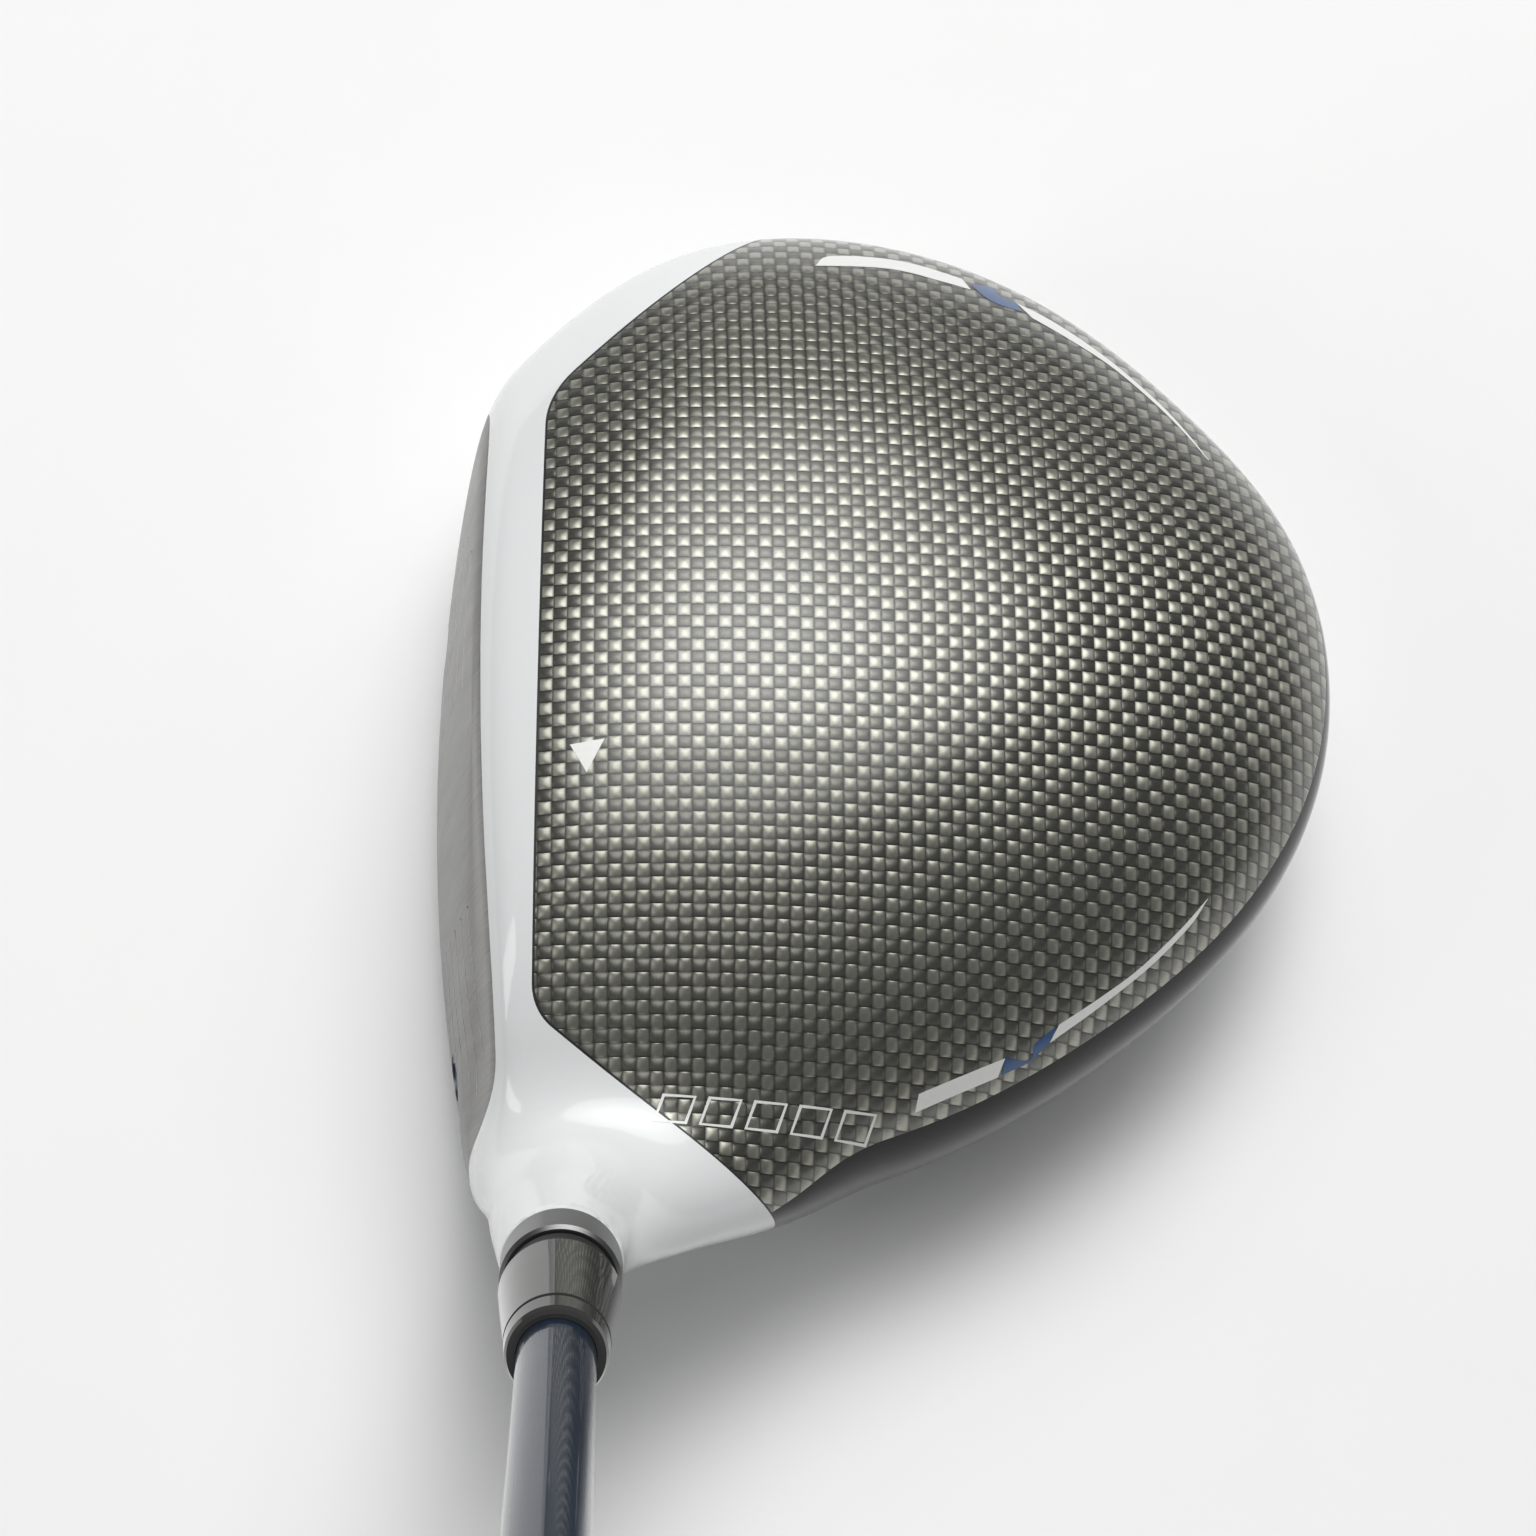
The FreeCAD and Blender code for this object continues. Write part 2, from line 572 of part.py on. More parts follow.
def make_grip_cap():
    low = BUTT_END + SCREW_GAP
    return on_shaft(turned([
        (VENT_RADIUS, low), (GRIP_BUTT_RADIUS, low), (CAP_RADIUS - 0.3, low + 0.6), (CAP_RADIUS, low + 1.5),
        (CAP_RADIUS, low + CAP_LENGTH - 2), (CAP_RADIUS - 0.6, low + CAP_LENGTH - 0.7),
        (CAP_RADIUS - 2.2, low + CAP_LENGTH), (VENT_RADIUS, low + CAP_LENGTH),
    ]))


# ---- head pieces -----------------------------------------------------------------------------------


def make_head():
    """Cuts the head's closed form into its body, face, panels and rim."""
    sharp = head_form(0)
    dome = sharp.makeFillet(FACE_EDGE_RADIUS, face_edges(sharp))
    print("head volume, cc", round(dome.Volume / 1000))
    neck = neck_form()
    outer = dome.fuse(neck)
    under_panel = head_form(PANEL)
    glue_line = head_form(PANEL + BOND)
    under_ledge = head_form(PANEL + BOND + LEDGE)
    skin = outer.cut(under_panel)
    region, seam = crown_region(), above_seam()

    crown = skin.common(region).common(seam)
    rim = skin.common(region).cut(above_seam(-BOND))
    save(crown, "crown_panel")
    save(rim, "rear_rim")

    face_plate = dome.cut(face_ball(FACE_THICKNESS)).common(domed_body(FACE_FRAME)).cut(neck)
    face_space = face_ball(0).cut(face_ball(FACE_THICKNESS)).common(domed_body(FACE_FRAME - BOND)).cut(neck)
    body = outer.cut(head_form(BODY_WALL)).cut(crown_region(low=RIM_LOW_Z - BOND))

    ledge_skin = glue_line.cut(under_ledge)
    ring = ledge_skin.common(slab(RING_LOW_Z, RING_HIGH_Z, RING_FRONT_X))
    front_band = crown_region(-LEDGE_WIDTH, RING_HIGH_Z - 2).cut(crown_region(LEDGE_WIDTH, RING_LOW_Z))
    front_band = front_band.cut(slab(-BIG, BIG, HEAD_HALF_WIDTH / 2))
    body = body.fuse([ring, ledge_skin.common(front_band)])

    for name, corners in (("sole_panel_toe", TOE_PANEL), ("sole_panel_heel", HEEL_PANEL)):
        save(skin.common(sole_region(corners)), name)
        frame = sole_region(corners, LEDGE_WIDTH).cut(sole_region(corners, -LEDGE_WIDTH))
        flange = ledge_skin.common(frame)
        body = body.cut(sole_region(corners, BOND).common(outer).cut(glue_line)).fuse(flange)

    tube = in_hosel(rod(HOSEL_RADIUS, -HOSEL_FLOOR - 40, 0)).common(outer)
    body = body.fuse(tube).cut([hosel_bore(), face_space])

    track_space = track_arc(TRACK_HALF_WIDTH + SCREW_GAP, -5, TRACK_ROOF + TRACK_WALL + SCREW_GAP,
                            TRACK_HALF_ANGLE + 0.05)
    keel = make_keel(outer)
    save(keel, "sole_keel")
    boss_hole = weight_rod(BOSS_RADIUS + SCREW_GAP, -25, 0)
    weight_hole = weight_rod(WEIGHT_RADIUS + 2 * SCREW_GAP, -WEIGHT_LENGTH - 2 * SCREW_GAP, 5)
    body = body.cut([track_space, boss_hole, weight_hole])
    ports = [port_rod(y, PORT_RADIUS, -10, 10) for y in PORT_Y]
    body = body.cut(ports)
    save(max(body.Solids, key=lambda s: s.Volume), "head_body")
    save(face_plate.cut(ports + [score_lines()]), "face_plate")


def main():
    os.makedirs("parts", exist_ok=True)
    make_head()
    pieces = {
        "face_port_screws": make_port_screws(),
        "weight_track": make_weight_track(),
        "slider_weight": make_slider(),
        "slider_nut": make_slider_nut(),
        "slider_screw": make_slider_screw(),
        "rear_weight": make_rear_weight(),
        "rear_weight_screw": make_rear_screw(),
        "hosel_insert": make_hosel_insert(),
        "hosel_washer": make_hosel_washer(),
        "hosel_screw": make_hosel_screw(),
        "loft_sleeve": make_sleeve(),
        "ferrule_ring": make_ferrule_ring(),
        "ferrule": make_ferrule(),
        "shaft": make_shaft(),
        "grip_tape": make_grip_tape(),
        "grip": make_grip(),
        "grip_cap": make_grip_cap(),
    }
    for name, shape in pieces.items():
        save(shape, name)


main()
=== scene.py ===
"""Looks of a golf driver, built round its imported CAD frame: studio, materials and fine detail.

Metres, in the frame of the part: +Z up from the ground, +X from the face to the rear of the head,
+Y from the heel to the toe, the origin where the sole touches the ground.
"""

import math

import bmesh
import bpy
import numpy as np
from mathutils import Matrix, Vector
from mathutils.bvhtree import BVHTree
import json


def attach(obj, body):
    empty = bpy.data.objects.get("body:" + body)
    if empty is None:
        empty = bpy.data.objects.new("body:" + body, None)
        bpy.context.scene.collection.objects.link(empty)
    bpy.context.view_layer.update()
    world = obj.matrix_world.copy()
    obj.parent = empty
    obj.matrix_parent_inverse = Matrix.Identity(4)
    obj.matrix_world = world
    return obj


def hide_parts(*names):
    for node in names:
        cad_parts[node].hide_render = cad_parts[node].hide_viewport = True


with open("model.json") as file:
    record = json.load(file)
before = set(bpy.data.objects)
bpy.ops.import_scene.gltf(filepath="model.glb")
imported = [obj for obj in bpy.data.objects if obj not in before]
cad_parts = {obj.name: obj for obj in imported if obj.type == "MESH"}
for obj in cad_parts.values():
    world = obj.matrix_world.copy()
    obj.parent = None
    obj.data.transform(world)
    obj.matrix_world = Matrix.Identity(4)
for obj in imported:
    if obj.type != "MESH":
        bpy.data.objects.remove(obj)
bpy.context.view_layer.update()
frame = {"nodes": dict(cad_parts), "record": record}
NODES = frame["nodes"]
MOUNTS = {m["name"]: m for m in frame["record"]["mounts"]}
MM = 0.001

# ---- camera ------------------------------------------------------------------------------------
CAMERA_AT = Vector((-9.465, -131.309, 450.768)) * MM
CAMERA_TARGET = Vector((6.37, 0.944, 45.0)) * MM
CAMERA_LENS = 82.03     # on a 36 mm wide sensor


def make_camera():
    """A golfer's view of the head at address; the top of the picture is square to the face's direction."""
    data = bpy.data.cameras.new("camera")
    data.lens = CAMERA_LENS
    data.sensor_width = 36.0
    data.clip_start = 0.01
    data.clip_end = 50.0
    camera = bpy.data.objects.new("camera", data)
    forward = (CAMERA_TARGET - CAMERA_AT).normalized()
    up = Vector((1, 0, 0)).cross(forward).normalized()
    right = forward.cross(up)
    camera.matrix_world = Matrix.Translation(CAMERA_AT) @ Matrix((right, up, -forward)).transposed().to_4x4()
    bpy.context.scene.collection.objects.link(camera)
    bpy.context.scene.camera = camera


# ---- the head's form, in millimetres ---------------------------------------------------------------

OUTLINE = [
    (79.2, 19), (75.3, 36.5), (63.5, 53), (45, 69), (21.5, 78), (-3, 76.3), (-23.5, 61.5), (-41, 37),
    (-50, 8), (-49, -24), (-38, -46), (-16, -51.2), (6, -50.3), (29, -43.5), (50, -31), (68, -14), (77, 3),
]
HEAD_HALF_WIDTH = 58.0
EQUATOR_Z, CROWN_Z = 29.0, 60.0
CROWN_APEX, EQUATOR_MIDDLE = (-8.0, 2.0), (-20.0, 1.0)
CROWN_POWERS, SOLE_POWERS = (1.65, 2.2), (1.1, 2.3)
RING_POINTS, LEVELS = 400, 90

LOFT = math.radians(9.5)
FACE_RADIUS = 280.0
FACE_POINT = Vector((-33.2, 8, 32))
FACE_NORMAL = Vector((-math.cos(LOFT), 0, math.sin(LOFT)))
FACE_THICKNESS, FACE_FRAME = 3.0, 1.9
BALL_CAP, BALL_STEPS = 24.0, 100        # degrees of the face's ball that are drawn round
SCORE_PITCH, SCORE_WIDTH, SCORE_DEPTH, SCORE_MIDDLE, SCORE_START = 5.4, 0.7, 0.25, -2.0, 14.0
SCORE_ROWS = [(-3, 27), (-2, 33), (-1, 36), (0, 37), (1, 36), (2, 32)]
PORT_RADIUS, PORT_Y, PORT_Z = 3.0, (-31.0, 27.0), 16.5

HOSEL_UP = -Vector(MOUNTS["hosel_screw_drive"]["axis"])
HOSEL_FLOOR, POCKET_RADIUS, SLEEVE_BORE, HOSEL_RADIUS, BOLT_HOLE = 42.0, 4.7, 5.65, 6.85, 2.8
INSERT_RADIUS, INSERT_TOP, INSERT_END = 6.1, 32.0, 38.5
HOSEL_TOP = Vector(MOUNTS["hosel_screw_drive"]["pos_m"]) / MM + HOSEL_UP * (HOSEL_FLOOR + 5.85)
# Neck sections below the hosel's top: depth, shift towards the rear, half-widths along X and across.
NECK = [
    (0, 0, 6.85, 6.85), (6, -0.1, 7.6, 6.95), (14, 1.6, 10.3, 7.4), (21, 5.4, 14.5, 7.6), (29, 9.2, 17.8, 7.2),
    (37, 10, 17.5, 6.9), (46, 6, 13, 6),
]
NECK_BLEND = 12.0        # how widely the neck flows into the dome
FACE_EDGE_BLEND = 3.2
VOXEL = 0.9

PANEL, BODY_WALL, BOND, LEDGE = 1.0, 1.2, 0.05, 1.1
SEAM_Z, SEAM_DROP, RIM_LOW_Z = 37.2, (0.038, 0.053), 24.5    # the seam drops towards the rear and the toe
TOE_PANEL = [(6, 17), (62, 26), (56, 46), (36, 61), (8, 64), (-4, 52)]
HEEL_PANEL = [(8, -9), (56, -2), (56, -15), (40, -29), (12, -38), (4, -34)]
PANEL_CORNER, SOLE_PANEL_TOP = 5.0, 21.0
SHELF_LOW, SHELF_HIGH = 19.0, 47.0
TRACK_AT, TRACK_RADIUS, TRACK_LOW = (-15.0, 5.0), 130.0, 0.5
TRACK_HALF_WIDTH, TRACK_HALF_ANGLE, TRACK_TOP = 8.45, 11.75, 8.85
WEIGHT_AXIS, WEIGHT_MOUTH = Vector(MOUNTS["rear_weight_drive"]["axis"]), Vector(MOUNTS["rear_weight_drive"]["pos_m"]) / MM
WEIGHT_HOLE, WEIGHT_DEPTH, BOSS_HOLE, BOSS_DEPTH = 4.7, 6.1, 4.55, 25.0


def closed_spline(points, count):
    """Points along the smooth closed curve through the given points, evenly placed by chord."""
    p = np.array(points, float)
    n = len(p)
    h = np.linalg.norm(np.roll(p, -1, 0) - p, axis=1)
    before = np.roll(h, 1)
    matrix = np.diag(2 * (h + before))
    for i in range(n):
        matrix[i, (i - 1) % n] += before[i]
        matrix[i, (i + 1) % n] += h[i]
    slope = (np.roll(p, -1, 0) - p) / h[:, None]
    bend = np.linalg.solve(matrix, 6 * (slope - np.roll(slope, 1, 0)))
    starts = np.concatenate([[0], np.cumsum(h)])
    t = np.linspace(0, starts[-1], count, endpoint=False)
    i = np.searchsorted(starts, t, side="right") - 1
    step, q = h[i][:, None], (t - starts[i])[:, None]
    j = (i + 1) % n
    return (p[i] + q * (slope[i] - step * (2 * bend[i] + bend[j]) / 6)
            + q ** 2 * bend[i] / 2 + q ** 3 * (bend[j] - bend[i]) / (6 * step))


def dome_rings(inset):
    """Horizontal sections of the head without its face, from the sole up to the crown."""
    outline = closed_spline(OUTLINE, RING_POINTS)
    shrink = 1 - inset / HEAD_HALF_WIDTH
    crown_z, sole_z = CROWN_Z - inset, inset
    rings = []
    for i in range(1 - LEVELS, LEVELS):
        angle = math.radians(90.0 * i / LEVELS)
        rise = math.sin(angle)
        powers, reach = (CROWN_POWERS, crown_z - EQUATOR_Z) if i > 0 else (SOLE_POWERS, EQUATOR_Z - sole_z)
        blend = abs(rise) ** 3
        scale = [shrink * math.cos(angle) ** (2 / (power + (2 - power) * blend)) for power in powers]
        if rise > 0:
            middle = [e + (a - e) * rise for e, a in zip(EQUATOR_MIDDLE, CROWN_APEX)]
        else:
            middle = [EQUATOR_MIDDLE[0] * (1 - rise ** 2), EQUATOR_MIDDLE[1] * (1 + rise)]
        flat = np.array(middle) + (outline - middle) * scale
        rings.append(np.column_stack([flat, np.full(len(flat), EQUATOR_Z + reach * rise)]))
    return rings, (0, 0, sole_z), (*CROWN_APEX, crown_z)


def neck_rings():
    """Sections of the neck from inside the head up to the hosel's top."""
    sections = np.array(NECK, float)
    across = Vector((1, 0, 0)).cross(HOSEL_UP)
    turn = np.linspace(0, 2 * math.pi, 96, endpoint=False)
    rings = []
    for depth in np.linspace(sections[-1][0], sections[0][0], 60):
        shift, half_x, half_y = [smooth_between(sections[:, 0], sections[:, k], depth) for k in (1, 2, 3)]
        centre = np.array(HOSEL_TOP - HOSEL_UP * depth) + (shift, 0, 0)
        rings.append(centre + np.outer(half_x * np.cos(turn), (1, 0, 0))
                     + np.outer(half_y * np.sin(turn), -across))
    return rings, tuple(rings[0].mean(0)), tuple(rings[-1].mean(0))


def smooth_between(xs, ys, x):
    """A smooth curve through the points (xs, ys), read at x."""
    slopes = np.gradient(ys, xs)
    i = min(max(int(np.searchsorted(xs, x)) - 1, 0), len(xs) - 2)
    width = xs[i + 1] - xs[i]
    t = (x - xs[i]) / width
    return ((2 * t ** 3 - 3 * t ** 2 + 1) * ys[i] + (t ** 3 - 2 * t ** 2 + t) * width * slopes[i]
            + (3 * t ** 2 - 2 * t ** 3) * ys[i + 1] + (t ** 3 - t ** 2) * width * slopes[i + 1])


def ringed_solid(name, rings, low, high):
    """A closed mesh over stacked rings, with a point at each end."""
    count, size = len(rings), len(rings[0])
    points = np.concatenate([*rings, [low], [high]])
    faces = []
    for k in range(size):
        n = (k + 1) % size
        faces.append((count * size, n, k))
        faces.append((count * size + 1, (count - 1) * size + k, (count - 1) * size + n))
        for i in range(count - 1):
            faces.append((i * size + k, i * size + n, (i + 1) * size + n, (i + 1) * size + k))
    mesh = bpy.data.meshes.new(name)
    mesh.from_pydata([tuple(p) for p in points], [], faces)
    return outward(mesh)


def outward(mesh):
    """The mesh with its faces turned outward."""
    b = bmesh.new()
    b.from_mesh(mesh)
    bmesh.ops.recalc_face_normals(b, faces=b.faces)
    if b.calc_volume(signed=True) < 0:
        bmesh.ops.reverse_faces(b, faces=b.faces)
    b.to_mesh(mesh)
    b.free()
    return mesh


def with_modifier(mesh, kind, **settings):
    """The mesh after one modifier."""
    holder = bpy.data.objects.new("work", mesh)
    bpy.context.scene.collection.objects.link(holder)
    modifier = holder.modifiers.new("work", kind)
    for key, value in settings.items():
        setattr(modifier, key, value)
    bpy.context.view_layer.update()
    made = bpy.data.meshes.new_from_object(holder.evaluated_get(bpy.context.evaluated_depsgraph_get()))
    bpy.data.objects.remove(holder)
    return made


def combine(mesh, operation, *others):
    """Boolean of closed meshes: DIFFERENCE, INTERSECT or UNION with each of the others in turn."""
    for other in others:
        holder = bpy.data.objects.new("other", other)
        bpy.context.scene.collection.objects.link(holder)
        mesh = with_modifier(mesh, "BOOLEAN", operation=operation, object=holder, solver="MANIFOLD")
        bpy.data.objects.remove(holder)
    return mesh


def points_of(mesh):
    flat = np.empty(len(mesh.vertices) * 3)
    mesh.vertices.foreach_get("co", flat)
    return flat.reshape(-1, 3)


def moved(mesh, points):
    made = mesh.copy()
    made.vertices.foreach_set("co", np.asarray(points, np.float32).ravel())
    made.update()
    return made


def distance_to(tree, points):
    """Signed distance from each point to a closed surface, with the surface's outward direction there."""
    distance, normal = np.empty(len(points)), np.empty((len(points), 3))
    for i, point in enumerate(points):
        place, facing, _, gap = tree.find_nearest(point)
        away = Vector(point) - place
        outside = away.dot(facing) > 0
        distance[i] = gap if outside else -gap
        normal[i] = facing if gap < 1e-4 else away * (1 / gap if outside else -1 / gap)
    return distance, normal


def join_smoothly(a, a_normal, b, b_normal, width, sign):
    """Smooth union (sign 1) or smooth intersection (sign -1) of two signed distances."""
    a, b = a * sign, b * sign
    near = np.clip((width - np.abs(a - b)) / width, 0, 1)
    share = np.where(a < b, 1 - near / 2, near / 2)[:, None]
    return sign * (np.minimum(a, b) - near ** 2 * width / 4), share * a_normal + (1 - share) * b_normal


def ball(inset):
    """The large ball whose front is the face, moved back by inset."""
    front = FACE_POINT - FACE_NORMAL * inset
    side, up = Vector((0, 1, 0)), FACE_NORMAL.cross(Vector((0, 1, 0)))
    turn = np.linspace(0, 2 * math.pi, 360, endpoint=False)
    circle = np.outer(np.cos(turn), side) + np.outer(np.sin(turn), up)
    rings = []
    for angle in np.radians(np.linspace(BALL_CAP / BALL_STEPS, BALL_CAP, BALL_STEPS)):
        back = FACE_RADIUS * (1 - math.cos(angle))
        rings.append(np.array(front - FACE_NORMAL * back) + FACE_RADIUS * math.sin(angle) * circle)
    far = front - FACE_NORMAL * FACE_RADIUS
    rings.append(np.array(far) + FACE_RADIUS * math.sin(math.radians(BALL_CAP)) * circle)
    return ringed_solid("ball", rings, tuple(front), tuple(far))


def head_form():
    """The closed outside of the head: dome, neck and face, each flowing into the next."""
    dome, neck = ringed_solid("dome", *dome_rings(0)), ringed_solid("neck", *neck_rings())
    rough = combine(combine(dome, "INTERSECT", ball(0)), "UNION", neck)
    rough = with_modifier(rough, "REMESH", mode="VOXEL", voxel_size=VOXEL)
    trees = [BVHTree.FromPolygons([v.co for v in m.vertices], [p.vertices for p in m.polygons]) for m in (dome, neck)]
    points = points_of(rough)
    centre = np.array(FACE_POINT - FACE_NORMAL * FACE_RADIUS)
    for _ in range(3):
        from_centre = points - centre
        reach = np.linalg.norm(from_centre, axis=1)
        faced = join_smoothly(
            *distance_to(trees[0], points), reach - FACE_RADIUS, from_centre / reach[:, None], FACE_EDGE_BLEND, -1)
        distance, normal = join_smoothly(*faced, *distance_to(trees[1], points), NECK_BLEND, 1)
        length = np.linalg.norm(normal, axis=1)
        points = points - (distance / length ** 2)[:, None] * normal
    return moved(rough, points)


def inner(mesh, depth):
    """The same surface moved inwards."""
    normals = np.array([v.normal for v in mesh.vertices])
    return moved(mesh, points_of(mesh) - depth * normals)


def rounded_outline(corners, radii):
    """The corners of a plan outline, with arcs in place of those that have a radius."""
    made = []
    for i, (corner, radius) in enumerate(zip(corners, radii)):
        if not radius:
            made.append(corner)
            continue
        here = Vector(corner)
        one, two = [(Vector(corners[(i + k) % len(corners)]) - here).normalized() for k in (-1, 1)]
        half = one.angle(two) / 2
        middle = here + (one + two).normalized() * radius / math.sin(half)
        start, stop = [here + d * radius / math.tan(half) - middle for d in (one, two)]
        for k in range(13):
            point = start.normalized().slerp(stop.normalized(), k / 12)
            made.append(tuple(middle + point * radius))
    return made


def prism(outline, low, high):
    """An upright closed prism over a plan outline."""
    mesh = bpy.data.meshes.new("prism")
    b = bmesh.new()
    base = b.faces.new([b.verts.new((x, y, low)) for x, y in outline])
    made = bmesh.ops.extrude_face_region(b, geom=[base])
    top = [v for v in made["geom"] if isinstance(v, bmesh.types.BMVert)]
    bmesh.ops.translate(b, verts=top, vec=(0, 0, high - low))
    bmesh.ops.triangulate(b, faces=b.faces)
    b.to_mesh(mesh)
    b.free()
    return outward(mesh)


def crown_region(margin=0.0, low=RIM_LOW_Z):
    """Everything behind the crown's front edge, which bends back at the toe and at the heel."""
    corners = [
        (24 + margin, 94), (-20.9 + margin, 48.8 - margin / 2), (-21.9 + margin, -31.5 + margin / 2),
        (20 + margin, -63.5), (120, -63.5), (120, 94),
    ]
    return prism(rounded_outline(corners, [0, 12, 6, 0, 0, 0]), low, 90)


def above_seam(offset=0.0):
    """Everything above the crown panel's lower edge."""
    mesh = prism([(-150, -150), (150, -150), (150, 150), (-150, 150)], 0, 150)
    points = points_of(mesh)
    points[:, 2] += SEAM_Z + offset - points[:, :2] @ SEAM_DROP
    return moved(mesh, points)


def rod(radius, low, high, origin=HOSEL_TOP, axis=HOSEL_UP, segments=128):
    """A cylinder along an axis, between two distances from its origin; the hosel's unless another is given."""
    mesh = bpy.data.meshes.new("rod")
    b = bmesh.new()
    bmesh.ops.create_cone(b, cap_ends=True, segments=segments, radius1=radius, radius2=radius, depth=high - low)
    turn = axis.to_track_quat("Z", "X").to_matrix().to_4x4()
    bmesh.ops.transform(b, verts=b.verts, matrix=Matrix.Translation(origin + axis * (low + high) / 2) @ turn)
    bmesh.ops.triangulate(b, faces=b.faces)
    b.to_mesh(mesh)
    b.free()
    return mesh


def sole_region(corners, grow=0.0):
    """An upright prism over a sole panel's outline, grown or shrunk."""
    middle = Vector((sum(x for x, y in corners), sum(y for x, y in corners))) / len(corners)
    grown = [tuple(middle + (Vector(c) - middle) * (1 + grow / (Vector(c) - middle).length)) for c in corners]
    return prism(rounded_outline(grown, [PANEL_CORNER] * len(grown)), -5, SOLE_PANEL_TOP)


def track_space():
    """The curved slot for the weight track."""
    axis_z = TRACK_LOW + TRACK_RADIUS
    rings = []
    for angle in np.radians(np.linspace(-TRACK_HALF_ANGLE, TRACK_HALF_ANGLE, 40)):
        ring = []
        for side, height in ((-1, -4), (1, -4), (1, TRACK_TOP), (-1, TRACK_TOP)):
            reach = TRACK_RADIUS - height
            ring.append((TRACK_AT[0] + side * TRACK_HALF_WIDTH, TRACK_AT[1] + reach * math.sin(angle),
                         axis_z - reach * math.cos(angle)))
        rings.append(np.array(ring))
    return ringed_solid("track_space", rings, tuple(rings[0].mean(0)), tuple(rings[-1].mean(0)))


def face_port(y):
    """The space of a weight port, square to the face."""
    centre = FACE_POINT - FACE_NORMAL * FACE_RADIUS
    x = centre.x - math.sqrt(FACE_RADIUS ** 2 - (y - centre.y) ** 2 - (PORT_Z - centre.z) ** 2)
    point = Vector((x, y, PORT_Z))
    return rod(PORT_RADIUS, -10, 10, point, (point - centre).normalized(), 64)


def score_lines():
    """Blocks that cut the score lines into the face on both sides of the hitting zone, and their paint."""
    cutters, paint = [], []
    for row, end in SCORE_ROWS:
        z = FACE_POINT.z + row * SCORE_PITCH
        for side in (-1, 1):
            start, stop = sorted(SCORE_MIDDLE + side * reach for reach in (SCORE_START, end))
            block = prism([(-60, start), (-10, start), (-10, stop), (-60, stop)], z, z + SCORE_WIDTH)
            cutters.append(combine(block, "DIFFERENCE", ball(SCORE_DEPTH)))
            paint.append(combine(combine(block, "INTERSECT", ball(SCORE_DEPTH / 2)), "DIFFERENCE", ball(SCORE_DEPTH)))
    return cutters, paint


def show(mesh, name, body, paint, slot, *replaced):
    """Puts a finished head mesh, drawn in millimetres, on its body."""
    mesh = moved(mesh, points_of(mesh) * MM)
    mesh.name = name
    made = bpy.data.objects.new(name, mesh)
    bpy.context.scene.collection.objects.link(made)
    mesh.materials.clear()
    mesh.materials.append(paint.material)
    mesh.shade_smooth()
    mesh.set_sharp_from_angle(angle=math.radians(35))
    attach(made, body)
    if replaced:
        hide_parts(*replaced)
    return made


def make_body(outer):
    """The cast body: wall, shelf for the glued panels, hosel tube, and every hole cut through it."""
    shelf = prism([(-24, -90), (120, -90), (120, 120), (-24, 120)], SHELF_LOW, SHELF_HIGH)
    hollow = combine(
        inner(outer, BODY_WALL), "DIFFERENCE", combine(shelf, "DIFFERENCE", inner(outer, PANEL + BOND + LEDGE)),
        rod(HOSEL_RADIUS, -HOSEL_FLOOR - 40, 5))
    rear_space = combine(
        crown_region(low=RIM_LOW_Z - BOND), "DIFFERENCE", combine(inner(outer, PANEL + BOND), "INTERSECT", shelf))
    dome = ringed_solid("dome", *dome_rings(FACE_FRAME - BOND))
    face_space = combine(dome, "DIFFERENCE", ball(FACE_THICKNESS), ringed_solid("neck", *neck_rings()))
    return combine(
        outer, "DIFFERENCE", hollow, rear_space, *[sole_region(c, BOND) for c in (TOE_PANEL, HEEL_PANEL)], face_space,
        rod(SLEEVE_BORE, -INSERT_END, 20), rod(INSERT_RADIUS, -INSERT_END, -INSERT_TOP),
        rod(BOLT_HOLE, -60, -INSERT_END + 1), rod(POCKET_RADIUS, -HOSEL_FLOOR - 50, -HOSEL_FLOOR), track_space(),
        rod(BOSS_HOLE, -BOSS_DEPTH, 0, WEIGHT_MOUTH, WEIGHT_AXIS),
        rod(WEIGHT_HOLE, -WEIGHT_DEPTH, 5, WEIGHT_MOUTH, WEIGHT_AXIS), *[face_port(y) for y in PORT_Y])


def make_face(outer, score_cutters):
    dome = ringed_solid("dome", *dome_rings(FACE_FRAME))
    neck = ringed_solid("neck", *neck_rings())
    plate = combine(outer, "INTERSECT", dome)
    return combine(plate, "DIFFERENCE", ball(FACE_THICKNESS), neck, *[face_port(y) for y in PORT_Y], *score_cutters)


def through(points, steps=8):
    """A smooth open curve through plan points."""
    p = [Vector(q) for q in points]
    p = [2 * p[0] - p[1], *p, 2 * p[-1] - p[-2]]
    made = []
    for a, b, c, d in zip(p, p[1:], p[2:], p[3:]):
        for k in range(steps):
            t = k / steps
            made.append(tuple(b + (c - a) * t / 2 + (2 * a - 5 * b + 4 * c - d) * t ** 2 / 2
                              + (3 * b - a - 3 * c + d) * t ** 3 / 2))
    return [*made, tuple(p[-2])]


def inlay(outer, *outlines, hole=None):
    """A film of paint on the head over plan outlines."""
    film = combine(inner(outer, -FILM), "DIFFERENCE", inner(outer, FILM))
    made = [combine(film, "INTERSECT", outline) for outline in outlines]
    if hole:
        made = [combine(m, "DIFFERENCE", hole) for m in made]
    return made


